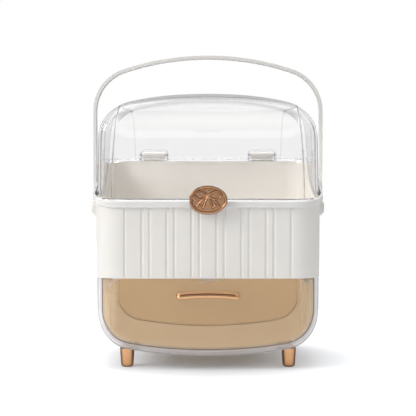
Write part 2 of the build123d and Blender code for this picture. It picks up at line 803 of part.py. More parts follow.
def bow(field):
    """A ribbon bow in low relief: two loops, two tails and a knot."""
    front = field - BOW_RELIEF
    height = MEDAL_Z + BOW_LOOP_Z
    loop = Ellipse(BOW_LOOP_LENGTH / 2, BOW_LOOP_HEIGHT / 2)
    loop -= Ellipse(BOW_LOOP_LENGTH / 2 - BOW_BAND, BOW_LOOP_HEIGHT / 2 - BOW_BAND)
    tail = Pos(0, -BOW_TAIL_LENGTH / 2) * Rectangle(BOW_TAIL_WIDTH, BOW_TAIL_LENGTH)
    knot = Ellipse(BOW_KNOT_WIDTH / 2, BOW_KNOT_HEIGHT / 2)
    relief = prism_y(Pos(0, height) * knot, front - BOW_RELIEF / 2, field + 1)
    for side in (-1, 1):
        placed = Pos(side * BOW_LOOP_X, height) * Rot(0, 0, side * 8) * loop
        relief += prism_y(placed, front, field + 1)
        placed = Pos(0, height) * Rot(0, 0, side * BOW_TAIL_TURN) * tail
        relief += prism_y(placed, front, field + 1)
    return relief


def nodes():
    """Every separate piece, by name."""
    pieces = {
        "tub": tub(),
        "drawer_housing": drawer_housing(),
        "case_screws": case_screws(),
        "runner_left": runner(-1),
        "runner_right": runner(1),
        "foot_screws": foot_screws(),
        "bail_pivot_left": bail_pivot(-1),
        "bail_pivot_right": bail_pivot(1),
        "bail_handle": bail(),
        "lid_dome": lid_dome(),
        "hinge_pin_left": hinge_pin(-1),
        "hinge_pin_right": hinge_pin(1),
        "latch_pin": latch_pin(),
        "latch_arm": latch_arm(),
        "latch_medallion": medallion(),
        "drawer_front": drawer_front(),
        "drawer_tray": drawer_tray(),
        "drawer_pull": drawer_pull(),
        "pull_screws": pull_screws(),
    }
    names = ["foot_front_left", "foot_front_right", "foot_rear_left", "foot_rear_right"]
    for name, (x, y) in zip(names, foot_places()):
        pieces[name] = foot(x, y)
    return pieces


os.makedirs("parts", exist_ok=True)
for name, piece in nodes().items():
    export_step(Pos(0, CASE_SHIFT, 0) * piece, f"parts/{name}.step")
print("hinge axis", HINGE_Y + CASE_SHIFT, HINGE_Z)
print("latch axis", latch_axis_y() + CASE_SHIFT, LATCH_PIN_Z)
print("bail axis", CASE_SHIFT, BAIL_PIVOT_Z)
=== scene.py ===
"""Looks of the storage organizer: finishes, modelled surfaces, light and camera."""
import json
import logging
import math
from collections.abc import Callable, Iterator
from dataclasses import dataclass
from enum import StrEnum

import bmesh
import bpy
import numpy as np
from bpy.types import Material, Node, NodeSocket, NodeTree, Object
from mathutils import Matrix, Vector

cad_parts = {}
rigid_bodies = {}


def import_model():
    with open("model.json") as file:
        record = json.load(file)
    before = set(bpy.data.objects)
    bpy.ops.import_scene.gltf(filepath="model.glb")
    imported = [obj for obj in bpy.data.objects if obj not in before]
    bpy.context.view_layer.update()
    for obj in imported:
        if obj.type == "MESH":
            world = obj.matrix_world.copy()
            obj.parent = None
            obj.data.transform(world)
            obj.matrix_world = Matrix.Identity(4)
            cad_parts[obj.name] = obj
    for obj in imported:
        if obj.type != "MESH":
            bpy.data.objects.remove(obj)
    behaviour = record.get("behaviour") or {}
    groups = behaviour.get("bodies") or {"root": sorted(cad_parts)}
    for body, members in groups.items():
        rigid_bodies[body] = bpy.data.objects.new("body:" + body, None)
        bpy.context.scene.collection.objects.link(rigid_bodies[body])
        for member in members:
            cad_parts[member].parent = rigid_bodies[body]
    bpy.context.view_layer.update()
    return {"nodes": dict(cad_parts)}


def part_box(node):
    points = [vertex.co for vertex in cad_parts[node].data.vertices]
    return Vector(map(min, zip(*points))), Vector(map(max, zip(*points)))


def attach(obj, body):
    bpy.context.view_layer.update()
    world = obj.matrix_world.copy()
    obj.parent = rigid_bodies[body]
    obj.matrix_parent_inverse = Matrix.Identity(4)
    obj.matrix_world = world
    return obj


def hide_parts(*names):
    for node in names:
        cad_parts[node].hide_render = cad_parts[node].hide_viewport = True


LOG = logging.getLogger("organizer")

# WELD and GRAIN_DEPTH are in metres, the other lengths in mm.
MM = 0.001
WELD = 2e-6
GRAIN_DEPTH = 0.0004
FINE_GRAIN = 18.0
ACRYLIC_IOR = 1.49
GLOSS_IOR = 1.46
HALVINGS = 40
SEAT = 0.05
RIM_ANGLE = math.radians(15.3)
RIM_FRONT = 177.5
CASE_HALF = (119.5, 82.0)
CASE_CORNER = 28.0
UP = np.array((0.0, 0.0, 1.0))
BACK = np.array((0.0, 1.0, 0.0))
WHITE_LIGHT = (1.0, 1.0, 1.0, 1.0)

Array = np.ndarray
Color = Triple = tuple[float, float, float]
Pair = tuple[float, float]
Curve = tuple[tuple[float, ...], tuple[float, ...]]
Grid = tuple[Array, bool]


class Slot(StrEnum):
    """The record's material slots."""

    WHITE = "white_plastic"
    CLEAR = "clear_plastic"
    AMBER = "amber_plastic"
    ROSE = "rose_gold"
    STEEL = "steel"


def feed(node: Node, inputs: dict[str | int, object]) -> None:
    """Feed inputs of a node.

    Args:
        node: The node.
        inputs: For an input's name or number, the output socket or the value it gets.
    """
    for name, source in inputs.items():
        if isinstance(source, NodeSocket):
            node.id_data.links.new(source, node.inputs[name])
        else:
            node.inputs[name].default_value = source


def add_node(tree: NodeTree, kind: str, inputs: dict[str | int, object] | None = None,
             **values: object) -> Node:
    """Add one node.

    Args:
        tree: The tree that takes the node.
        kind: The node's Blender type name.
        inputs: What its inputs get, as in feed.
        values: Names of its plain properties and what they are set to.

    Returns:
        The new node.
    """
    node = tree.nodes.new(kind)
    for name, value in values.items():
        setattr(node, name, value)
    feed(node, inputs or {})
    return node


def combine(operation: str, first: NodeSocket, *others: object) -> NodeSocket:
    """Add a Math node for a socket and other sockets or values, and give its output."""
    inputs = dict(enumerate((first, *others)))
    return add_node(first.id_data, "ShaderNodeMath", inputs, operation=operation).outputs[0]


def ramp(source: NodeSocket, ends: Pair = (0.0, 1.0), levels: Pair = (0.0, 1.0),
         kind: str = "LINEAR") -> NodeSocket:
    """Add a Map Range node.

    Args:
        source: What it maps.
        ends: Where the ramp starts and ends.
        levels: What it gives there.
        kind: How it goes from one to the other.

    Returns:
        Its output.
    """
    names = ("Value", "From Min", "From Max", "To Min", "To Max")
    inputs = dict(zip(names, (source, *ends, *levels)))
    node = add_node(source.id_data, "ShaderNodeMapRange", inputs, interpolation_type=kind)
    return node.outputs["Result"]


def tint(shader: Node, color: Color, share: NodeSocket) -> NodeSocket:
    """Blend the base colour of a shader to another.

    Args:
        shader: The Principled shader.
        color: The colour at a share of 1.
        share: The socket of the share.

    Returns:
        The socket of the blended colour.
    """
    base = shader.inputs["Base Color"]
    node = add_node(shader.id_data, "ShaderNodeMix", {"Factor": share}, data_type="RGBA")
    first, second = (n for n, socket in enumerate(node.inputs) if socket.type == "RGBA")
    before = base.links[0].from_socket if base.links else tuple(base.default_value)
    feed(node, {first: before, second: (*color, 1.0)})
    blended = next(socket for socket in node.outputs if socket.type == "RGBA")
    feed(shader, {"Base Color": blended})
    return blended


def edge_on(tree: NodeTree, bias: float) -> NodeSocket:
    """Give a socket that is 0 face on and 1 edge on, and half way at the bias."""
    return add_node(tree, "ShaderNodeLayerWeight", {"Blend": bias}).outputs["Facing"]


def place_in(tree: NodeTree, space: str) -> NodeSocket:
    """Give the socket of a place in the named coordinates."""
    return add_node(tree, "ShaderNodeTexCoord").outputs[space]


def ray_kinds(tree: NodeTree, *kinds: str) -> Iterator[NodeSocket]:
    """Give for each kind of ray the socket that is 1 for it and 0 for the rest."""
    path = add_node(tree, "ShaderNodeLightPath")
    return (path.outputs[f"Is {kind} Ray"] for kind in kinds)


def mould_group() -> NodeTree:
    """Build the group for moulded plastic: broad flow marks and a fine grain.

    Returns:
        The group, with the input Scale and the outputs Mask and Height.
    """
    tree = bpy.data.node_groups.get("moulded_surface")
    if tree:
        return tree
    tree = bpy.data.node_groups.new("moulded_surface", "ShaderNodeTree")
    for name, way in (("Scale", "INPUT"), ("Mask", "OUTPUT"), ("Height", "OUTPUT")):
        tree.interface.new_socket(name, in_out=way, socket_type="NodeSocketFloat")
    scale = add_node(tree, "NodeGroupInput").outputs["Scale"]
    outlet = add_node(tree, "NodeGroupOutput")
    place = place_in(tree, "Object")
    for name, finer, detail, rough in (("Mask", 1.0, 3.0, 0.5), ("Height", FINE_GRAIN, 4.0, 0.6)):
        noise = add_node(tree, "ShaderNodeTexNoise", {
            "Vector": place, "Scale": combine("MULTIPLY", scale, finer),
            "Detail": detail, "Roughness": rough,
        }, noise_dimensions="3D")
        feed(outlet, {name: noise.outputs["Fac"]})
    return tree


def new_material(name: str) -> tuple[Material, NodeTree, Node]:
    """Make a material with its Principled shader.

    Args:
        name: Its name.

    Returns:
        The material, its node tree and the shader.
    """
    material = bpy.data.materials.new(name)
    material.use_nodes = True
    return material, material.node_tree, material.node_tree.nodes["Principled BSDF"]


@dataclass(frozen=True)
class Finish:
    """What every finish has: a name, the record's slot and the common shader values."""

    name: str
    slot: Slot
    color: Color
    roughness: float
    scale: float = 40.0
    variation: float = 0.03
    grain: float = 0.02
    rough_share: Pair = (0.85, 1.2)

    def start(self) -> tuple[Material, NodeTree, Node]:
        """Make the material with its shader and its moulded surface.

        Returns:
            The material, its node tree and its Principled shader.
        """
        material, tree, shader = new_material(self.name)
        group = add_node(tree, "ShaderNodeGroup", {"Scale": self.scale}, node_tree=mould_group())
        mask = group.outputs["Mask"]
        low, high = (tuple(min(c * (1 + turn), 1.0) for c in self.color)
                     for turn in (-self.variation, self.variation))
        rough = tuple(self.roughness * share for share in self.rough_share)
        bump = add_node(tree, "ShaderNodeBump", {
            "Strength": self.grain, "Distance": GRAIN_DEPTH, "Height": group.outputs["Height"],
        })
        feed(shader, {
            "Base Color": (*low, 1.0), "Roughness": ramp(mask, levels=rough),
            "Normal": bump.outputs["Normal"],
        })
        tint(shader, high, mask)
        return material, tree, shader

    def paint_edge_shade(self, shader: Node, edge: Color, ends: Pair) -> None:
        """Paint shade edge on: blend the base colour to a darker one between two turns, 0 face on
        and 1 edge on.
        """
        tint(shader, edge, ramp(edge_on(shader.id_data, 0.5), ends, kind="SMOOTHSTEP"))

    def painted_shade(self, shader: Node, color: Color) -> None:
        """Paint shade: blend the base colour to a dark one by how strongly the mesh's attribute
        of painted shade marks each point.
        """
        painted_shade = add_node(shader.id_data, "ShaderNodeAttribute", attribute_name="painted_shade")
        tint(shader, color, painted_shade.outputs["Fac"])

    def material(self) -> Material:
        """Build the finished material."""
        return self.start()[0]

    def shared(self) -> Material:
        """Give the finished material, which is built once."""
        return bpy.data.materials.get(self.name) or self.material()


@dataclass(frozen=True)
class GlossPlastic(Finish):
    """Opaque moulded plastic with a soft gloss."""

    coat: Pair = (0.25, 0.12)

    def material(self) -> Material:
        """Build the plastic with its thin polished skin.

        Returns:
            The material.
        """
        material, _, shader = self.start()
        weight, rough = self.coat
        feed(shader, {"Coat Weight": weight, "Coat Roughness": rough, "IOR": GLOSS_IOR})
        return material


@dataclass(frozen=True)
class SeeThrough(Finish):
    """Clear or tinted plastic with real walls, which lets most light through its shadow, with
    painted shade edge on and along its marks.
    """

    shadow: Color = (0.97, 0.97, 0.97)
    # edge is the colour of the painted shade edge on, and marked that of the painted shade along
    # the mesh's marks.
    edge: Color = (0.36, 0.34, 0.37)
    turn: Pair = (0.5, 1.0)
    marked: Color = (0.10, 0.08, 0.10)

    def material(self) -> Material:
        """Build the plastic, with painted shade edge on and along its marks, and the pale shadow
        that it throws.

        Returns:
            The material.
        """
        material, tree, shader = self.start()
        feed(shader, {"IOR": ACRYLIC_IOR, "Transmission Weight": 1.0})
        self.paint_edge_shade(shader, self.edge, self.turn)
        self.painted_shade(shader, self.marked)
        pale = add_node(tree, "ShaderNodeBsdfTransparent", {"Color": (*self.shadow, 1.0)})
        sources = (*ray_kinds(tree, "Shadow"), shader.outputs["BSDF"], pale.outputs["BSDF"])
        mix = add_node(tree, "ShaderNodeMixShader", dict(enumerate(sources)))
        feed(tree.nodes["Material Output"], {"Surface": mix.outputs["Shader"]})
        return material


@dataclass(frozen=True)
class Milky(Finish):
    """Tinted plastic that partly scatters: see-through by a fixed share, denser edge on."""

    grain: float = 0.0
    variation: float = 0.01
    face_alpha: float = 0.8
    edge_alpha: float = 0.95
    edge_bias: float = 0.35
    leaving: float = 1.0

    def material(self) -> Material:
        """Build the plastic with its alpha by the angle at which it is seen.

        Where a ray leaves the plastic, only the share "leaving" of the alpha is kept.

        Returns:
            The material.
        """
        material, tree, shader = self.start()
        alpha = ramp(edge_on(tree, self.edge_bias), levels=(self.face_alpha, self.edge_alpha))
        geometry = add_node(tree, "ShaderNodeNewGeometry")
        side = ramp(geometry.outputs["Backfacing"], levels=(1.0, self.leaving))
        feed(shader, {"IOR": ACRYLIC_IOR, "Alpha": combine("MULTIPLY", alpha, side)})
        return material


@dataclass(frozen=True)
class Graded(Milky):
    """Milky plastic of a tray: its back wall is painted darker, as painted shade, and its front
    wall clear.

    A little painted glow stands for the light that scatters inside the plastic. The two
    ramps run between depths in metres.
    """

    # Colour of the painted shade on the back wall.
    back_wall_shade: Color = (0.65, 0.41, 0.14)
    glow: float = 0.22
    front_y: Pair = (-0.0762, -0.0752)
    back_y: Pair = (0.0695, 0.0705)

    def material(self) -> Material:
        """Build the plastic with its colour, painted darker towards the back as painted shade,
        and its alpha by the depth in the tray.

        Returns:
            The material.
        """
        material = super().material()
        tree = material.node_tree
        shader = tree.nodes["Principled BSDF"]
        axes = add_node(tree, "ShaderNodeSeparateXYZ", {"Vector": place_in(tree, "Object")})
        front, back = (ramp(axes.outputs["Y"], ends) for ends in (self.front_y, self.back_y))
        alpha = combine("MULTIPLY", shader.inputs["Alpha"].links[0].from_socket, front)
        # Painted shade on the back wall, and a painted glow of the blended colour.
        glow = {"Emission Color": tint(shader, self.back_wall_shade, back), "Emission Strength": self.glow}
        feed(shader, {"Alpha": alpha, **glow})
        return material


@dataclass(frozen=True)
class Plated(Finish):
    """Plated metal, from satin to polished, with painted shade where it turns away and along the
    mesh's marks.
    """

    # edge is the colour of the painted shade where the metal turns away, and marked that of the
    # painted shade along the mesh's marks.
    edge: Color = (0.6, 0.6, 0.61)
    marked: Color = (0.12, 0.04, 0.015)
    turn: Pair = (0.2, 0.8)
    coat: float = 0.0
    coat_rough: float = 0.1

    def material(self) -> Material:
        """Build the metal.

        Returns:
            The material.
        """
        material, _, shader = self.start()
        feed(shader, {
            "Metallic": 1.0, "Coat Weight": self.coat, "Coat Roughness": self.coat_rough,
        })
        self.paint_edge_shade(shader, self.edge, self.turn)
        self.painted_shade(shader, self.marked)
        return material


WHITE = GlossPlastic("white_moulding", Slot.WHITE, (0.87, 0.835, 0.785), 0.36)
BAIL_WHITE = GlossPlastic(
    "bail_moulding", Slot.WHITE, (0.84, 0.81, 0.77), 0.38, variation=0.01, grain=0.0,
)
# The clear finish gets painted shade edge on and along its marks.
CLEAR = SeeThrough(
    "clear_moulding", Slot.CLEAR, (0.99, 0.99, 0.99), 0.02, variation=0.008, grain=0.0,
)
HOUSING = Milky(
    "clear_housing", Slot.CLEAR, (0.86, 0.84, 0.86), 0.06, face_alpha=0.24, edge_alpha=0.85,
)
AMBER = Milky(
    "amber_moulding", Slot.AMBER, (0.60, 0.40, 0.20), 0.07, variation=0.03,
    face_alpha=0.42, edge_alpha=0.85, leaving=0.0,
)
TRAY_AMBER = Graded(
    "amber_tray", Slot.AMBER, (0.82, 0.71, 0.56), 0.08, variation=0.02,
    face_alpha=0.6, edge_alpha=0.8,
)
SKIRT = Milky("clear_skirt", Slot.CLEAR, (0.94, 0.92, 0.89), 0.12)
# Dark colours of the bevel bars: painted shade along the bevels' lines.
BEVEL_SHADE_CLEAR = Milky("bevel_shade_clear", Slot.CLEAR, (0.16, 0.12, 0.14), 0.3)
BEVEL_SHADE_AMBER = Milky("bevel_shade_amber", Slot.AMBER, (0.22, 0.17, 0.13), 0.3, face_alpha=0.75)
# The edge colours of the rose gold and steel finishes are painted shade where the metal turns
# away, and their marked colour the painted shade along the mesh's marks.
ROSE = Plated(
    "rose_gold_polished", Slot.ROSE, (0.88, 0.49, 0.25), 0.25,
    variation=0.02, edge=(0.12, 0.03, 0.008), turn=(0.08, 0.65),
)
ROSE_SATIN = Plated(
    "rose_gold_satin", Slot.ROSE, (0.92, 0.48, 0.25), 0.27,
    variation=0.04, edge=(0.18, 0.05, 0.02), turn=(0.15, 0.8), coat=0.7,
)
ROSE_BRIGHT = Plated(
    "rose_gold_bright", Slot.ROSE, (0.98, 0.55, 0.27), 0.2,
    variation=0.01, edge=(0.35, 0.10, 0.03), turn=(0.25, 0.95), coat=0.7,
)
STEEL = Plated("pin_steel", Slot.STEEL, (0.86, 0.86, 0.87), 0.3)


def join_grids(grids: list[Grid]) -> tuple[Array, Array]:
    """Join grids of points, stored row by row, to one list of points and faces.

    Each face joins a point to its neighbours in the next column and the next row.

    Args:
        grids: Each grid as (rows, columns, 3) points and whether its columns close.

    Returns:
        The points, and the faces as an (m, 4) array of indices.
    """
    points, faces, start = [], [], 0
    for grid, closed in grids:
        index = np.arange(start, start + grid[..., 0].size).reshape(grid.shape[:2])
        start += index.size
        if closed:
            index = np.concatenate((index, index[:, :1]), axis=1)
        corners = (index[:-1, :-1], index[:-1, 1:], index[1:, 1:], index[1:, :-1])
        points.append(grid.reshape(-1, 3))
        faces.append(np.stack(corners, axis=-1).reshape(-1, 4))
    return np.concatenate(points), np.concatenate(faces)


def build_mesh(name: str, grids: list[Grid], finish: Finish, sharp: float = 40.0,
               marks: Array | None = None) -> Object:
    """Make one smooth object from grids of points, and weld points that meet.

    Args:
        name: The object's name.
        grids: Each grid as (rows, columns, 3) points in mm and whether its columns close.
        finish: Its finish.
        sharp: Edges that turn by more than this angle in degrees stay sharp.
        marks: How strongly painted shade darkens the first points, from 0 to 1. The rest get
            none.

    Returns:
        The object, linked to the scene.
    """
    points, faces = join_grids(grids)
    mesh = bpy.data.meshes.new(name)
    mesh.from_pydata((points * MM).tolist(), [], faces.tolist())
    if marks is not None:
        # Painted shade, stored for each point.
        shown = np.pad(marks.ravel(), (0, len(points) - marks.size)).astype(np.float32)
        mesh.attributes.new("painted_shade", "FLOAT", "POINT").data.foreach_set("value", shown)
    work = bmesh.new()
    work.from_mesh(mesh)
    bmesh.ops.remove_doubles(work, verts=work.verts, dist=WELD)
    bmesh.ops.dissolve_degenerate(work, edges=work.edges, dist=WELD / 2)
    bmesh.ops.recalc_face_normals(work, faces=work.faces)
    work.to_mesh(mesh)
    work.free()
    mesh.polygons.foreach_set("use_smooth", np.ones(len(mesh.polygons), dtype=bool))
    mesh.set_sharp_from_angle(angle=math.radians(sharp))
    mesh.materials.append(finish.shared())
    piece = bpy.data.objects.new(name, mesh)
    bpy.context.scene.collection.objects.link(piece)
    return piece


def rounded_section(width: float, height: float, radius: float, steps: int = 5) -> Array:
    """Draw a rounded rectangle around the origin: four quarter arcs, joined by lines.

    Args:
        width: Its size along the first axis in mm.
        height: Its size along the second axis in mm.
        radius: The corners' radius in mm.
        steps: Points in each corner.

    Returns:
        The points, as an (n, 2) array.
    """
    quarter = np.linspace(0.0, math.pi / 2, steps)
    turn = (quarter + np.arange(4)[:, None] * math.pi / 2).ravel()
    side = np.repeat(np.array(((1, 1), (-1, 1), (-1, -1), (1, -1))), steps, axis=0)
    middle = side * np.array((width / 2 - radius, height / 2 - radius))
    return middle + radius * np.column_stack((np.cos(turn), np.sin(turn)))


def bend(corners: Array, radius: float, steps: int = 8) -> Array:
    """Round the inner corners of an open line: each becomes a curve between two points.

    The curve is the blend of the two points and the corner, with the weights of a
    square curve, at the given distance to each side of the corner.

    Args:
        corners: The line's corners, as an (n, 3) array.
        radius: How far from the corner each curve starts, in mm.
        steps: Points on each curve.

    Returns:
        The line's points.
    """
    middle = corners[1:-1]
    ways = (corners[:-2] - middle, corners[2:] - middle)
    first, last = (middle + way / np.linalg.norm(way, axis=1, keepdims=True) * radius
                   for way in ways)
    share = np.linspace(0.0, 1.0, steps)[:, None]
    curve = ((1 - share) ** 2 * first[:, None] + share**2 * last[:, None]
             + 2 * share * (1 - share) * middle[:, None])
    return np.concatenate((corners[:1], curve.reshape(-1, 3), corners[-1:]))


def sweep(path: Array, up: Array, section: Array) -> Array:
    """Carry a section along a path and close both ends.

    At each point of the path the section's first axis stands square to the path and to
    the up direction, and its second axis is the up direction.

    Args:
        path: Points of the path, as an (n, 3) array.
        up: The up direction, the same along the path.
        section: Points of the section, as an (m, 2) array.

    Returns:
        The rows, as (n + 2, m, 3).
    """
    along = np.gradient(path, axis=0)
    side = np.cross(along, up)
    side /= np.linalg.norm(side, axis=1, keepdims=True)
    rows = path[:, None] + section[None, :, :1] * side[:, None] + section[None, :, 1:] * up
    ends = np.broadcast_to(rows[[0, -1]].mean(axis=1, keepdims=True), (2, *rows.shape[1:]))
    return np.concatenate((ends[:1], rows, ends[1:]))


def bell(away: Array, width: float) -> Array:
    """Give a bell curve: e to the power of minus the square of distance over width."""
    return np.exp(-((away / width) ** 2))


def furthest(inside: Callable[[Array], Array], shape: tuple[int, ...], limit: float) -> Array:
    """Find how far rays stay inside a shape, by halving the span again and again.

    Args:
        inside: Tells for a distance along each ray whether the place is inside.
        shape: The shape of the array of rays.
        limit: A distance in mm at which every ray is outside.

    Returns:
        The distances in mm.
    """
    low, high = np.zeros(shape), np.full(shape, limit)
    for _ in range(HALVINGS):
        middle = (low + high) / 2
        within = inside(middle)
        low, high = np.where(within, middle, low), np.where(within, high, middle)
    return low


def plan_outside(x: Array, y: Array, half: Pair, corner: Pair) -> Array:
    """Measure how far points lie outside a rectangle with rounded corners.

    Args:
        x: Places across, in mm.
        y: Places in depth, in mm.
        half: Half the width and half the depth.
        corner: Radius of the front corners and of the back corners.

    Returns:
        Distances in mm, below zero inside.
    """
    radius = np.where(y < 0, corner[0], corner[1])
    over_x = np.abs(x) - (half[0] - radius)
    over_y = np.abs(y) - (half[1] - radius)
    past = np.hypot(np.maximum(over_x, 0), np.maximum(over_y, 0))
    return past + np.minimum(np.maximum(over_x, over_y), 0) - radius


def soft_max(a: Array, b: Array, width: float) -> Array:
    """Take the larger of two fields, with a rounded change-over of the given width."""
    near = np.maximum(width - np.abs(a - b), 0) / width
    return np.maximum(a, b) + near**2 * width / 4


def rim_height(y: Array) -> Array:
    """Give the slanted rim's height in mm: that of its front plus slope times depth."""
    return RIM_FRONT + math.tan(RIM_ANGLE) * (y + CASE_HALF[1])


@dataclass(frozen=True)
class Crowned:
    """An outline with leaning sides, corner arcs and one crown arc, in mm and degrees."""

    half: float
    foot: float
    apex: float
    corner_r: float
    crown_r: float
    lean: float

    def outside(self, across: Array, up: Array) -> Array:
        """Measure how far points lie outside the outline.

        A point is measured from the side line, the corner arc or the crown arc,
        whichever it faces.

        Args:
            across: Places across the outline, in mm from its middle.
            up: Heights in mm.

        Returns:
            Distances in mm, below zero inside.
        """
        lean = math.radians(self.lean)
        side = np.array((-math.sin(lean), math.cos(lean)))
        inward = np.array((-math.cos(lean), -math.sin(lean)))
        crown = np.array((0.0, self.apex - self.crown_r))
        reach = self.crown_r - self.corner_r
        start = np.array((self.half, self.foot)) + inward * self.corner_r - crown
        along = float(start @ side)
        travel = -along + math.sqrt(along**2 - float(start @ start) + reach**2)
        centre = start + side * travel + crown
        outward = (centre - crown) / reach
        point = np.stack((np.abs(across), up), axis=-1)
        rel = point - centre
        from_side = rel @ -inward - self.corner_r
        from_crown = np.linalg.norm(point - crown, axis=-1) - self.crown_r
        from_corner = np.linalg.norm(rel, axis=-1) - self.corner_r
        faces_corner = rel[..., 0] * outward[1] - rel[..., 1] * outward[0] > 0
        above = np.where(faces_corner, from_corner, from_crown)
        return np.where(rel @ side <= 0, from_side, above)


@dataclass(frozen=True)
class Dome:
    """The clear lid: a barrel with two rounded end caps, on a flange along the rim."""

    finish: Finish = CLEAR
    skirt_finish: Finish = SKIRT
    front: Crowned = Crowned(120.7, 96.6, 294.7, 44.0, 332.0, 1.6)
    side: Crowned = Crowned(84.53, 96.6, 296.2, 50.0, 420.0, 2.5)
    half: Pair = (118.5, 81.0)
    corner: Pair = (17.0, 32.0)
    shoulder: float = 7.0
    foot_blend: float = 5.0
    wall: float = 2.4
    crease: Curve = (
        (0.0, 0.55, 0.94, 1.15, 1.57, 2.2, 2.6, 3.15),
        (101.5, 99.8, 96.2, 92.9, 91.2, 90.6, 88.0, 86.0),
    )
    crease_blur: int = 7
    dip: float = 0.6
    dip_width: float = 6.0
    groove: float = 0.6
    groove_width: float = 0.6
    # Painted shade: a dark line along the crease, and a darkening that grows towards the top.
    crease_shade: Curve = ((0.0, 0.35, 0.5, 0.6, 1.0), (0.8, 0.75, 0.35, 0.3, 0.3))
    crease_shade_width: float = 0.55
    top_shade: Triple = (268.0, 28.0, 0.42)
    top_shade_power: float = 0.9
    flange: float = 3.5
    flange_out: float = 1.9
    flange_low: float = 0.4
    trim: float = 0.6
    thick: float = 2.0
    skirt: Pair = (2.6, 6.4)
    edge_round: float = 0.7
    skirt_reach: float = 2.15
    skirt_end: float = 36.0
    skirt_lift: float = 0.5
    hinge_x: float = 64.5
    hinge_width: float = 33.5
    hood: Pair = (2.4, 3.0)
    hood_z: Pair = (224.2, 234.9)
    hood_y: Pair = (79.8, 93.8)
    ear_x: Pair = (6.55, 9.05)
    ear_y: Pair = (-87.8, -79.8)
    ear_z: float = 190.0
    ear_section: Pair = (4.9, 2.2)
    around: int = 150
    cap: int = 46
    cap_power: float = 2.2
    barrel: int = 60
    barrel_power: float = 1.8
    middle_y: float = 5.0
    limit: float = 400.0
    cap_reach: float = 110.0
    shift: float = 0.55

    def outside(self, point: Array) -> Array:
        """Measure how far points lie outside the dome.

        It is the soft maximum of the front outline, the side outline and the plan.

        Args:
            point: Places in mm, as an array whose last axis is x, y and z.

        Returns:
            Distances in mm, below zero inside.
        """
        x, y, z = point[..., 0], point[..., 1], point[..., 2]
        body = soft_max(self.front.outside(x, z), self.side.outside(y, z), self.shoulder)
        plan = plan_outside(x, y, self.half, self.corner)
        return soft_max(body, plan, self.foot_blend)

    def rays(self, lift: float) -> tuple[Array, Array, Array]:
        """Lay out the rays from the middle of the rim to the dome.

        Each column is an arch from the front foot over the top to the back foot. The
        columns go from the pole of the left cap over the barrel to the right cap's pole.

        Args:
            lift: Height above the rim at which the rays start, in mm.

        Returns:
            Starts, directions and each ray's distance from the crease in mm.
        """
        turn = np.linspace(0.0, math.pi, self.around)[:, None]
        back = np.array((0.0, math.cos(RIM_ANGLE), math.sin(RIM_ANGLE)))
        up = np.array((0.0, -math.sin(RIM_ANGLE), math.cos(RIM_ANGLE)))
        arch = -np.cos(turn)[..., None] * back + np.sin(turn)[..., None] * up
        crease = np.interp(turn, *self.crease)
        kernel = np.hanning(2 * self.crease_blur + 1)
        padded = np.pad(crease[:, 0], self.crease_blur, mode="reflect", reflect_type="odd")
        crease = np.convolve(padded, kernel / kernel.sum(), mode="valid")[:, None]
        swing = math.pi / 2 * np.linspace(1.0, 0.0, self.cap) ** self.cap_power
        across = np.linspace(-1.0, 1.0, self.barrel + 1)[1:-1]
        place = np.sign(across) * (1 - (1 - np.abs(across)) ** self.barrel_power)
        start_x = np.concatenate((-np.ones(self.cap), place, np.ones(self.cap)))
        swings = np.concatenate((-swing, np.zeros(len(place)), swing[::-1]))
        x = crease * start_x
        y = np.full_like(x, self.middle_y)
        starts = np.stack((x, y, rim_height(y) + lift), -1)
        lean = np.broadcast_to(swings, x.shape)
        aside = np.array((1.0, 0.0, 0.0))
        directions = np.cos(lean)[..., None] * arch + np.sin(lean)[..., None] * aside
        distance = np.where(lean == 0, np.abs(x) - crease, self.cap_reach * np.abs(lean))
        return starts, directions, distance

    def cast(self, lift: float, inset: float, marked: bool) -> tuple[Array, Array]:
        """Find where the rays leave the dome.

        Args:
            lift: Height above the rim at which the rays start, in mm.
            inset: How far inside the outer surface the result lies, in mm.
            marked: Whether the crease's groove is cut and its painted shade drawn in: a dark line
                along the crease and shade that grows towards the top.

        Returns:
            The points, as (arch, column, 3), and how much painted shade darkens each: a dark
            line in the middle of the crease, less so over the top and behind, and shade that
            grows towards the top.
        """
        starts, directions, distance = self.rays(lift)
        low = furthest(
            lambda far: self.outside(starts + directions * far[..., None]) < -inset,
            starts.shape[:2], self.limit,
        )
        if marked:
            past = np.maximum(distance, 0) / self.dip_width
            low = low - self.dip * past * np.exp(1 - past)
            low = low - self.groove * bell(distance, self.groove_width)
        arch = np.linspace(0.0, 1.0, self.around)[:, None]
        # Painted shade along the crease and towards the top.
        marks = np.interp(arch, *self.crease_shade) * bell(distance, self.crease_shade_width)
        points = starts + directions * low[..., None]
        start, span, most = self.top_shade
        rise = np.clip((points[..., 2] - start) / span, 0, 1) ** self.top_shade_power
        return points, marked * np.maximum(marks, most * rise)

    def ring(self, grid: Array) -> Array:
        """Take the closed foot line of a grid: along the front, then back behind."""
        return np.concatenate((grid[0, :-1], grid[-1, :0:-1]))

    def outline(self, ring: Array, reach: float, spare: float = -9.0) -> Array:
        """Push a ring out to a wider rounded rectangle, seen from above.

        Args:
            ring: Points of the dome's foot.
            reach: How far the rectangle stands out from the case, in mm.
            spare: How far the result stands out from the ring at least, in mm.

        Returns:
            Places across and in depth, as an (n, 2) array.
        """
        half = (CASE_HALF[0] + reach, CASE_HALF[1] + reach)
        corner = (CASE_CORNER + reach,) * 2
        size = np.linalg.norm(ring[:, :2], axis=1)
        away = ring[:, :2] / size[:, None]
        far = furthest(
            lambda out: plan_outside(*(away * out[:, None]).T, half, corner) < 0,
            size.shape, self.limit / 2,
        )
        return away * np.maximum(far, size + spare)[:, None]

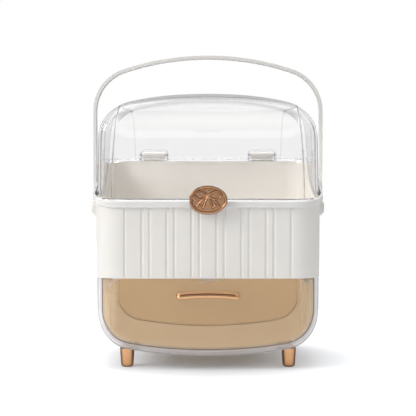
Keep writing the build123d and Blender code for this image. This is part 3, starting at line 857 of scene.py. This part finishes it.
    def edge(self, outer: Array, inner: Array) -> Array:
        """Build the flange: rows from the outer foot around its rim to the inner foot.

        Args:
            outer: Foot ring of the outer surface.
            inner: Foot ring of the inner surface.

        Returns:
            The rows, as (row, ring, 3).
        """
        wide = self.outline(outer, self.flange, self.flange_out)
        trimmed = self.outline(outer, self.flange - self.trim, self.flange_out - self.trim)
        spots = (trimmed, wide, wide, trimmed)
        heights = (self.thick, self.thick - self.trim, self.flange_low, 0.0)
        rows = [np.column_stack((spot, rim_height(spot[:, 1]) + height + SEAT))
                for spot, height in zip(spots, heights)]
        return np.stack((outer, *rows, inner))

    def skirt_band(self, outer: Array) -> None:
        """Build the band that hangs from the flange around the front and the corners.

        It is a rounded section, carried along the pushed-out foot line.

        Args:
            outer: Foot ring of the dome's outer surface.
        """
        front = outer[:, 1] < self.skirt_end
        start = np.flatnonzero(front & ~np.roll(front, 1))[0]
        ring = np.roll(outer, -start, axis=0)[:np.count_nonzero(front)]
        spot = self.outline(ring, self.skirt_reach)
        middle = rim_height(spot[:, 1]) - self.skirt[1] / 2 + self.skirt_lift
        line = np.column_stack((spot[:, 0], spot[:, 1] + self.shift, middle))
        rows = sweep(line, UP, rounded_section(*self.skirt, self.edge_round))
        piece = build_mesh("lid_skirt", [(rows, True)], self.skirt_finish)
        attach(piece, "lid")

    def hinge_hood(self, side: int) -> Array:
        """Build one hinge housing: an upturned U behind the dome, round at its corners.

        Args:
            side: -1 for the left one, 1 for the right one.

        Returns:
            Its rows of points.
        """
        thick, radius = self.hood
        half = (self.hinge_width - thick) / 2
        low, top = self.hood_z[0], self.hood_z[1] - thick / 2
        x = side * self.hinge_x + np.array((-half, -half, half, half))
        y = np.full(4, sum(self.hood_y) / 2)
        line = bend(np.column_stack((x, y, (low, top, top, low))), radius)
        section = rounded_section(thick, self.hood_y[1] - self.hood_y[0], self.edge_round)
        return sweep(line, BACK, section)

    def latch_ear(self, side: int) -> Array:
        """Build one of the two ears that hold the latch pin, as a short rounded bar.

        Args:
            side: -1 for the left one, 1 for the right one.

        Returns:
            Its rows of points.
        """
        x = side * np.linspace(*self.ear_x, 4)
        y = np.full(4, sum(self.ear_y) / 2)
        line = np.column_stack((x, y, np.full(4, self.ear_z)))
        return sweep(line, UP, rounded_section(self.ear_y[1] - self.ear_y[0], *self.ear_section))

    def build(self) -> None:
        """Build the dome: both its surfaces, flange, hinge housings, latch ears and skirt."""
        outer, marks = self.cast(self.thick + SEAT, 0.0, True)
        inner, _ = self.cast(SEAT, self.wall, False)
        edge = self.edge(self.ring(outer), self.ring(inner))
        grids = [(outer, False), (inner, False), (edge, True)]
        for side in (-1, 1):
            grids += [(self.hinge_hood(side), True), (self.latch_ear(side), True)]
        grids = [(grid + self.shift * BACK, closed) for grid, closed in grids]
        piece = build_mesh("dome_shell", grids, self.finish, sharp=50.0, marks=marks)
        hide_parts("lid_dome")
        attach(piece, "lid")
        self.skirt_band(self.ring(outer))


@dataclass(frozen=True)
class Medallion:
    """The oval latch plate: uneven outline, raised rim, hammered field and a ribbon bow."""

    finish: Finish = ROSE_SATIN
    half: Pair = (20.3, 15.1)
    middle_z: float = 179.2
    thick: float = 3.6
    field: float = 2.9
    rim: float = 2.2
    rim_step: Pair = (0.5, 0.9)
    round: float = 1.2
    line: float = 0.5
    raise_by: float = 0.85
    hammer: tuple[float, ...] = (0.03, 1.3, 0.7, 1.5, 0.4)
    # Painted shade: in the hollows beside the bow, at the foot of the rim, along the outline's
    # edge and on the back.
    hollow_shade: Pair = (0.85, 0.4)
    groove: Triple = (0.8, 0.3, 0.45)
    side: Pair = (0.9, 0.8)
    loop: Pair = (13.6, 11.4)
    loop_lift: float = 0.1
    knot: Pair = (1.9, 2.3)
    knot_z: float = 4.0
    knot_rise: float = 0.75
    tails: tuple[tuple[float, ...], ...] = (
        (0.8, 11.0, 0.85, 3.2, -9.4, 1.25), (0.4, 4.8, 0.9, 2.8, -11.2, 1.1),
    )
    notch: Pair = (7.6, -5.6)
    loop_points: int = 200
    tail_points: int = 60
    swells: tuple[Triple, ...] = (
        (180.0, -0.055, 13.0), (216.0, 0.008, 12.0), (60.0, -0.01, 20.0),
        (316.0, -0.01, 22.0), (150.0, -0.01, 10.0),
    )
    shade_limit: float = 0.9
    back_shade: float = 0.3
    inward_share: float = 0.9
    back_round: float = 0.5
    back_step: int = 6
    rings: int = 90
    ring_power: float = 1.5
    around: int = 300

    def reach(self, turn: Array) -> Array:
        """Give the outline's distance from the middle.

        It is an ellipse times one plus a bell for each dent or swell around it.

        Args:
            turn: Directions in radians, from the right over the top.

        Returns:
            Distances in mm.
        """
        wide, tall = self.half
        ellipse = wide * tall / np.hypot(tall * np.cos(turn), wide * np.sin(turn))
        swell = np.ones_like(turn)
        for place, amount, width in self.swells:
            away = np.degrees(np.angle(np.exp(1j * (turn - math.radians(place)))))
            swell += amount * bell(away, width)
        return ellipse * swell

    def strokes(self) -> list[Array]:
        """Draw the bow's lines: two loops and two ribbon tails.

        The loops follow a lying figure of eight, lifted at both ends. Each tail is the
        outline of a ribbon that widens from the knot and ends in a notch. The places on
        its sides are a start plus a length times a power of the share of the way.

        Returns:
            Lines of points in mm from the medallion's middle.
        """
        turn = np.linspace(0.0, 2 * math.pi, self.loop_points)
        scale = 1 / (1 + np.sin(turn) ** 2)
        x = self.loop[0] * np.cos(turn) * scale
        z = self.loop[1] * np.sin(turn) * np.cos(turn) * scale
        loops = np.column_stack((x, z + self.loop_lift * np.abs(x) + self.knot_z))
        fall = np.linspace(0.0, 1.0, self.tail_points)
        outer, inner = (np.column_stack((a + b * fall**c, d + e * fall**f))
                        for a, b, c, d, e, f in self.tails)
        corners = np.stack((outer[-1], self.notch, inner[-1]))
        notch = np.column_stack([np.interp(fall, (0, 0.5, 1), axis) for axis in corners.T])
        tails = [line * (side, 1) for side in (-1, 1) for line in (outer, inner, notch)]
        return [loops, *tails]

    def relief(self, x: Array, z: Array, inward: Array) -> tuple[Array, Array]:
        """Give the front's height above the back, and the painted shade on it.

        The rim is a bead that falls to the field. Each line of the bow is a ridge with the
        shape of a bell, and the knot is a small dome. Painted shade darkens the hollows
        beside both, the foot of the rim and the outline's edge.

        Args:
            x: Places across in mm from the middle.
            z: Heights in mm from the middle.
            inward: Distances inside the outline in mm.

        Returns:
            Heights in mm, and painted shade from 0 to 1.
        """
        spot = np.stack((x, z), axis=-1).reshape(-1, 1, 2)
        gaps = [np.linalg.norm(spot - line, axis=-1).min(axis=1) for line in self.strokes()]
        near = np.min(gaps, axis=0).reshape(x.shape)
        ridge = bell(near, self.line)
        early, span = self.rim_step
        fall = np.clip((inward - self.rim + early) / span, 0, 1)
        fall = fall * fall * (3 - 2 * fall)
        edge = np.clip(self.round - inward, 0, self.round)
        height = self.thick - (self.thick - self.field) * fall
        height += np.sqrt(self.round**2 - edge**2) - self.round
        dent, wave, sway, pitch, phase = self.hammer
        height += dent * fall * np.sin(x * wave + sway * np.sin(z)) * np.sin(z * pitch + phase)
        height += self.raise_by * fall * ridge
        knot = 1 - (x / self.knot[0]) ** 2 - ((z - self.knot_z) / self.knot[1]) ** 2
        knot = np.clip(knot, 0, 1)
        height += self.knot_rise * np.sqrt(knot) * (1 - ridge)
        # Painted shade in the hollows beside the bow, at the foot of the rim and along the
        # outline's edge.
        start, width = self.hollow_shade
        marks = bell(near - start, width) * fall * (knot <= 0)
        dark, start, width = self.groove
        marks += dark * bell(inward - self.rim - start, width)
        dark, width = self.side
        return height, np.clip(marks + dark * bell(inward, width), 0, self.shade_limit)

    def build(self, back: float) -> None:
        """Build the medallion: rings at growing shares of its outline, with the relief.

        Args:
            back: Where its flat back lies in depth, in mm.
        """
        turn = np.linspace(0.0, 2 * math.pi, self.around, endpoint=False)
        share = 1 - np.linspace(1.0, 0.0, self.rings)[:, None] ** self.ring_power
        reach = self.reach(turn)
        x, z = share * reach * np.cos(turn), share * reach * np.sin(turn)
        height, marks = self.relief(x, z, (1 - share) * reach * self.inward_share)
        front = np.stack((x, back - height, z + self.middle_z), axis=-1)
        rear = front[::-self.back_step].copy()
        rear[..., 1] = back
        rear[0] = front[-1]
        rear[0, :, 1] = back - self.back_round
        # The back gets an even painted shade.
        shown = np.concatenate((marks.ravel(), np.full(rear[..., 0].size, self.back_shade)))
        grids = [(np.concatenate((front, rear)), True)]
        piece = build_mesh("medallion_relief", grids, self.finish, sharp=70.0, marks=shown)
        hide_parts("latch_medallion")
        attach(piece, "latch")


@dataclass(frozen=True)
class Pull:
    """The drawer's bar pull: one arched bar with a groove painted dark as a shadow line, its ends
    turned back.
    """

    finish: Finish = ROSE_BRIGHT
    width: float = 66.4
    height: float = 6.8
    thick: float = 3.2
    standoff: float = 9.8
    arch: float = 2.0
    middle_z: float = 79.0
    front: float = -81.45
    turn: float = 3.2
    round: float = 1.3
    slit: Pair = (0.8, 0.8)
    slit_back: float = -1.0
    slit_shade: float = 1.3
    fade: Pair = (3.5, 2.0)
    end: float = 3.3
    end_share: float = 0.97
    steps: int = 33

    def middle(self, x: Array) -> Array:
        """Give the bar's height across: the middle height plus a flat arch."""
        return self.middle_z + self.arch * (1 - (x / (self.width / 2)) ** 2)

    def section(self) -> tuple[Array, Array]:
        """Draw the bar's section, with a soft groove pressed in above its middle.

        Returns:
            The points, and how much painted shade darkens each: the groove is painted dark.
        """
        plain = rounded_section(self.thick, self.height, self.round, steps=6)
        top, count = self.height / 2 - self.round, len(plain)
        rise = np.linspace(top, -top, count)[1:-1]
        face = np.column_stack((np.full(len(rise), -self.thick / 2), rise))
        section = np.concatenate((plain[:count // 2], face, plain[count // 2:]))
        place, width = self.slit
        press = bell(section[:, 1] - place, width) * (section[:, 0] < self.slit_back)
        section[:, 0] += width * press
        return section * (-1.0, 1.0), np.minimum(self.slit_shade * press, 1.0)

    def path(self) -> Array:
        """Lay the bar's line: back to the drawer at both ends, straight and arched between.

        Returns:
            The points, as an (n, 3) array.
        """
        half = (self.width - self.thick) / 2
        out = self.front - self.standoff - self.thick / 2
        back = self.front - SEAT
        corners = np.array(((-half, back, 0), (-half, out, 0), (half, out, 0), (half, back, 0)))
        turns = bend(corners, self.turn)
        x = np.linspace(-half, half, self.steps)[2:-2]
        straight = np.column_stack((x, np.full(len(x), out), np.zeros(len(x))))
        count = len(turns) // 2
        line = np.concatenate((turns[:count], straight, turns[count:]))
        line[:, 2] = self.middle(line[:, 0])
        return line

    def build(self) -> None:
        """Build the pull: its section along its path, lower towards both ends.

        Near an end the section's height shrinks with a circle of the end's radius.
        """
        section, marks = self.section()
        rows = sweep(self.path(), UP, section)
        aside = np.abs(rows[..., 0])
        past = np.clip(aside - self.width / 2 + self.end, 0, self.end_share * self.end)
        middle = self.middle(rows[..., 0])
        rows[..., 2] = middle + (rows[..., 2] - middle) * np.sqrt(1 - (past / self.end) ** 2)
        # The groove's painted shade fades out towards both ends.
        inset, span = self.fade
        shown = np.clip((self.width / 2 - inset - aside) / span, 0, 1) * marks
        piece = build_mesh("pull_bar", [(rows, True)], self.finish, marks=shown)
        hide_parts("drawer_pull")
        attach(piece, "drawer")


@dataclass(frozen=True)
class Bevel:
    """A fine bevel that runs around the drawer's U-shaped outline, as one thin bar painted dark:
    painted shade that stands for the dark line the bevel shows.
    """

    name: str
    body: str
    finish: Finish
    inset: float
    radius: float
    depth: float | None = None
    outline: Crowned = Crowned(118.2, -96.6, -15.1, 42.0, 500.0, 0.0)
    half: Pair = (118.2, 80.7)
    corner: float = 26.5
    shift: float = 0.55
    top: float = 95.4
    limit: float = 200.0
    steps: int = 140

    def line(self) -> Array:
        """Find the bevel's line, from the left side's top around the bottom to the right.

        Rays from the middle of the top meet the outline, drawn in by the inset. Where no
        depth is given the line lies on the front and follows its rounded corners.

        Returns:
            The points, as an (n, 3) array.
        """
        turn = np.linspace(math.pi, 2 * math.pi, self.steps)
        across, up = np.cos(turn), np.sin(turn)
        far = furthest(
            lambda out: self.outline.outside(across * out, -self.top - up * out) < -self.inset,
            turn.shape, self.limit,
        )
        x, z = across * far, self.top + up * far
        past = np.clip(np.abs(x) - (self.half[0] - self.corner), 0, self.corner - 1.0)
        round_off = self.corner - np.sqrt(self.corner**2 - past**2)
        y = -self.half[1] + round_off if self.depth is None else np.full(self.steps, self.depth)
        return np.column_stack((x, y + self.shift, z))

    def build(self) -> None:
        """Build the bevel: a round section, carried along its line."""
        section = rounded_section(2 * self.radius, 2 * self.radius, self.radius, steps=3)
        rows = sweep(self.line(), BACK, section)
        piece = build_mesh(self.name, [(rows, True)], self.finish)
        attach(piece, self.body)


@dataclass(frozen=True)
class Studio:
    """The camera at the photograph's angle, a pale floor and soft lamps, in metres."""

    focal_px: float = 1100.0
    image_px: float = 416.0
    sensor: float = 36.0
    clip_start: float = 0.05
    eye_height: float = 0.2104
    eye_to_front: float = 1.150
    front: float = 0.0815
    horizon_px: float = 170.0
    aim: Triple = (0.0, 0.0, 0.16)
    floor_half: float = 3.0
    floor_color: Color = (0.86, 0.89, 0.93)
    floor_rough: float = 0.7
    floor_reach: Pair = (0.04, 0.2)
    floor_glow: Pair = (0.0, 0.5)
    world_power: float = 0.54
    room_dark: float = 0.2
    wall: Pair = (0.35, 0.9)
    ceiling: Pair = (0.3, 0.75)
    gloss_dull: float = 0.35

    def camera(self) -> None:
        """Place the camera level with the rim, pitched down by a few degrees."""
        data = bpy.data.cameras.new("camera")
        data.sensor_width = self.sensor
        data.lens = self.sensor * self.focal_px / self.image_px
        data.clip_start = self.clip_start
        pitch = math.atan((self.image_px / 2 - self.horizon_px) / self.focal_px)
        camera = bpy.data.objects.new("camera", data)
        camera.location = (0.0, -self.front - self.eye_to_front, self.eye_height)
        camera.rotation_euler = (math.pi / 2 - pitch, 0.0, 0.0)
        bpy.context.scene.collection.objects.link(camera)
        bpy.context.scene.camera = camera

    def lamp(self, name: str, size: float, power: float, place: Triple,
             glossy: bool = True) -> None:
        """Add one soft square lamp that points at the object's middle.

        Args:
            name: Its name.
            size: The side of the square in metres.
            power: Its power in watts.
            place: Where it stands.
            glossy: Whether it shows in reflections.
        """
        data = bpy.data.lights.new(name, "AREA")
        data.size = size
        data.energy = power
        lamp = bpy.data.objects.new(name, data)
        lamp.visible_glossy = glossy
        lamp.location = place
        x, y, z = np.array(place) - np.array(self.aim)
        lamp.rotation_euler = (math.atan2(math.hypot(x, y), z), 0.0, math.atan2(x, -y))
        bpy.context.scene.collection.objects.link(lamp)

    def surround(self) -> Material:
        """Build the floor's material: pale to light, with a painted glow that grows away from the
        object and makes it white to the camera far off.

        Returns:
            The material.
        """
        material, tree, shader = new_material("studio_floor")
        place = {0: place_in(tree, "Object")}
        # Painted light: a glow for camera and see-through rays, nil near the object and growing
        # further off, whitens the floor far off and lifts its shadow there.
        far = add_node(tree, "ShaderNodeVectorMath", place, operation="LENGTH")
        grow = ramp(far.outputs["Value"], self.floor_reach, self.floor_glow, "SMOOTHSTEP")
        seen = combine("MAXIMUM", *ray_kinds(tree, "Camera", "Transmission"))
        feed(shader, {
            "Base Color": (*self.floor_color, 1.0), "Roughness": self.floor_rough,
            "Emission Color": WHITE_LIGHT,
            "Emission Strength": combine("MULTIPLY", seen, grow),
        })
        return material

    def world(self) -> None:
        """Light the world evenly, and show white behind and a dim room in front.

        Camera rays see white. Gloss and see-through rays see a white backdrop behind
        the object and a white ceiling, and a dim room to the sides and the front.
        """
        world = bpy.data.worlds.new("studio")
        world.use_nodes = True
        bpy.context.scene.world = world
        tree = world.node_tree
        axes = add_node(tree, "ShaderNodeSeparateXYZ", {0: place_in(tree, "Generated")})
        camera, gloss, through = ray_kinds(tree, "Camera", "Glossy", "Transmission")
        room = combine("MAXIMUM", *(
            ramp(axes.outputs[axis], ends, (self.room_dark, 1.0))
            for axis, ends in (("Y", self.wall), ("Z", self.ceiling))
        ))
        mirror = combine("GREATER_THAN", combine("SUBTRACT", gloss, through), 0.5)
        dull = combine("MULTIPLY_ADD", mirror, -self.gloss_dull, 1.0)
        shown = combine("MAXIMUM", combine("MULTIPLY", room, dull), camera)
        seen = combine("MAXIMUM", camera, combine("MAXIMUM", through, gloss))
        inputs = {"Factor": seen, "A": self.world_power, "B": shown}
        power = add_node(tree, "ShaderNodeMix", inputs, data_type="FLOAT").outputs["Result"]
        feed(tree.nodes["Background"], {"Color": WHITE_LIGHT, "Strength": power})

    def floor(self) -> None:
        """Lay the pale floor."""
        corners = self.floor_half * np.array(((-1, -1, 0), (1, -1, 0), (1, 1, 0), (-1, 1, 0)))
        mesh = bpy.data.meshes.new("floor")
        mesh.from_pydata(corners.tolist(), [], [(0, 1, 2, 3)])
        floor = bpy.data.objects.new("floor", mesh)
        mesh.materials.append(self.surround())
        bpy.context.scene.collection.objects.link(floor)

    def build(self) -> None:
        """Set up the whole studio."""
        bpy.context.scene.view_settings.view_transform = "Standard"
        self.camera()
        self.world()
        self.floor()
        self.lamp("key", size=0.9, power=20.0, place=(-1.7, -0.9, 1.2))
        self.lamp("fill", size=1.4, power=0.8, place=(1.5, -1.3, 0.8))
        self.lamp("top", size=1.2, power=13.0, place=(-0.2, 0.1, 1.9), glossy=False)


NODES_OF_FINISH = (
    (WHITE, ("tub",)),
    (BAIL_WHITE, ("bail_handle", "bail_pivot_left", "bail_pivot_right")),
    (HOUSING, ("drawer_housing", "runner_left", "runner_right")),
    (CLEAR, ("lid_dome", "latch_arm")),
    (AMBER, ("drawer_front",)),
    (TRAY_AMBER, ("drawer_tray",)),
    (ROSE, ("foot_front_left", "foot_front_right", "foot_rear_left", "foot_rear_right")),
    (ROSE_BRIGHT, ("drawer_pull",)),
    (ROSE_SATIN, ("latch_medallion",)),
    (STEEL, ("case_screws", "foot_screws", "pull_screws", "hinge_pin_left",
             "hinge_pin_right", "latch_pin")),
)


def dress_nodes() -> None:
    """Give every CAD node its finish."""
    for finish, nodes in NODES_OF_FINISH:
        for name in nodes:
            for slot in bpy.data.objects[name].material_slots:
                slot.material = finish.shared()


def plain(box: object) -> list[list[float]]:
    """Turn a box into plain lists of numbers."""
    return [[float(v) for v in corner] for corner in box]


def main() -> None:
    """Load the frame, dress it and report each piece."""
    logging.basicConfig(level=logging.INFO)
    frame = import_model()
    LOG.info("%d nodes in the frame", len(frame["nodes"]))
    medallion_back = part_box("latch_medallion")[1][1]
    Studio().build()
    dress_nodes()
    Dome().build()
    Medallion().build(medallion_back / MM)
    Pull().build()
    # Thin dark bars of painted shade along the bevels.
    Bevel("mouth_bevel", "case", BEVEL_SHADE_CLEAR, inset=6.15, radius=0.6).build()
    Bevel("lip_bevel", "case", BEVEL_SHADE_CLEAR, inset=0.5, radius=0.3).build()
    Bevel("tray_bevel", "drawer", BEVEL_SHADE_AMBER, inset=10.9, radius=0.5, depth=69.8,
          top=80.5).build()
    for piece in bpy.context.scene.objects:
        if piece.type == "MESH":
            LOG.info("%s: %d faces", piece.name, len(piece.data.polygons))


if __name__ == "__main__":
    main()
